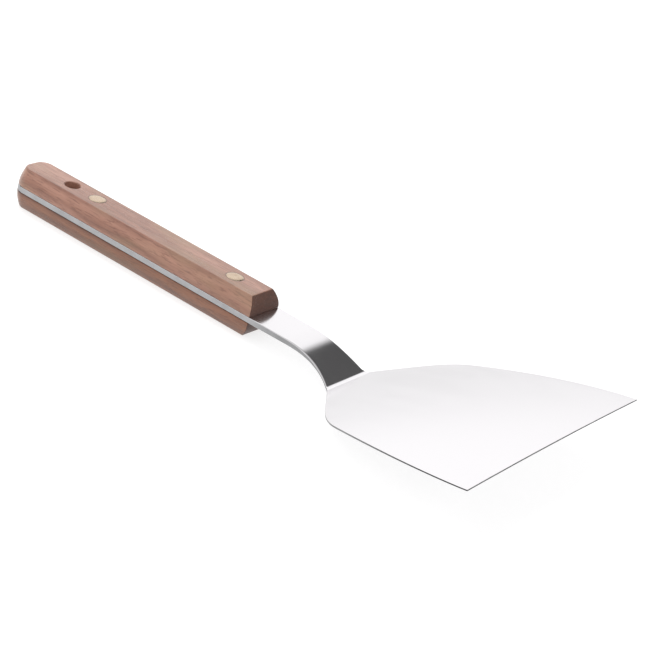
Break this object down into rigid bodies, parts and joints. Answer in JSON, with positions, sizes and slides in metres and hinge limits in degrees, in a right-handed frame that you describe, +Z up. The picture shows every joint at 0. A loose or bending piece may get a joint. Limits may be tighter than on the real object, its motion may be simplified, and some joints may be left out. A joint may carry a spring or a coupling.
{
  "type": "grill spatula",
  "caption": "Hand-held turner with a wide polished steel blade, a cranked neck, a full tang and riveted wood scales with a hang hole, for lifting and turning food on a grill.",
  "frame": {"origin": "middle of the bounding box in length and width, on the surface that the lower rivet heads rest on", "axes": "+X along the handle towards the blade's leading edge, +Y to the left, +Z up, square to the flats of the handle"},
  "size_m": [0.3296, 0.152, 0.0298],
  "materials": {
    "steel": "polished stainless steel, finely brushed on the blade",
    "upper_wood": "oiled reddish-brown hardwood, sanded smooth with open pores",
    "lower_wood": "oiled reddish-brown hardwood, sanded smooth with open pores",
    "brass": "satin brass, buffed flush with the wood"
  },
  "bodies": {
    "root": {"blade_and_tang": "steel", "upper_scale": "upper_wood", "lower_scale": "lower_wood", "front_rivet_male": "brass", "front_rivet_female": "brass", "rear_rivet_male": "brass", "rear_rivet_female": "brass"}
  },
  "joints": []
}
